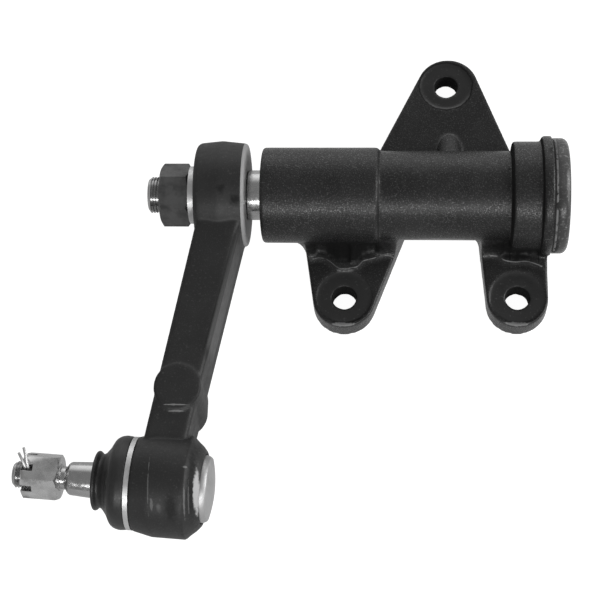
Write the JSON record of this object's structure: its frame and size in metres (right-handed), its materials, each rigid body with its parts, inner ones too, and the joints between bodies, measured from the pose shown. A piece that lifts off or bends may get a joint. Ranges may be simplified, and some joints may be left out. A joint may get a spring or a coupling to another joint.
{
  "type": "steering idler arm",
  "caption": "Steering idler arm: a cast bolt-on bracket with a pivot shaft, and a forged arm that swings on it and ends in a ball joint with a tapered stud.",
  "frame": {"origin": "on the bracket's mounting face, below the pivot axis and in line with the middle of the upper ear", "axes": "+Z away from the mounting face, X along the pivot axis with the end cap on +X, +Y towards the upper bolt hole, and the arm reaches towards -Y"},
  "size_m": [0.2889, 0.2853, 0.0658],
  "materials": {
    "cast_black": "painted cast surface",
    "forged_black": "satin black forging",
    "bare_steel": "machined steel",
    "dark_steel": "phosphated steel",
    "cap_steel": "grey pressed steel",
    "bush_bronze": "plain bronze",
    "seat_resin": "moulded resin",
    "black_rubber": "semi-gloss rubber",
    "gasket": "pressed gasket sheet"
  },
  "bodies": {
    "bracket": {"housing": "cast_black", "front_bush": "bush_bronze", "rear_bush": "bush_bronze", "dust_seal": "black_rubber", "inner_thrust_washer": "bush_bronze", "cap_gasket": "gasket", "end_cap": "cap_steel"},
    "arm": {"idler_arm": "forged_black", "pivot_shaft": "bare_steel", "outer_thrust_washer": "bare_steel", "shaft_nut": "dark_steel", "shaft_split_pin": "bare_steel", "arm_nut": "dark_steel", "spring_washer": "bare_steel", "ball_seat": "seat_resin", "pressure_seat": "seat_resin", "preload_spring": "bare_steel", "socket_cap": "bare_steel", "boot_ring": "bare_steel", "dust_boot": "black_rubber"},
    "boot_neck": {"boot_neck_ring": "bare_steel"},
    "stud": {"ball_stud": "bare_steel", "castle_nut": "bare_steel", "cotter_pin": "bare_steel"}
  },
  "joints": [
    {"name": "arm_swing", "type": "hinge", "parent": "bracket", "child": "arm", "pos_m": [0, 0, 0.0335], "axis": [1, 0, 0], "range_deg": [-40, 40]},
    {"name": "stud_tilt", "type": "hinge", "parent": "arm", "child": "boot_neck", "pos_m": [-0.1456, -0.16216, 0.0267], "axis": [0, -0.0419, 0.9991], "range_deg": [-18, 18], "deforming": ["dust_boot"]},
    {"name": "stud_spin", "type": "hinge", "parent": "boot_neck", "child": "stud", "pos_m": [-0.1456, -0.16216, 0.0267], "axis": [-0.9979, 0.0645, 0.0027], "continuous": true}
  ]
}
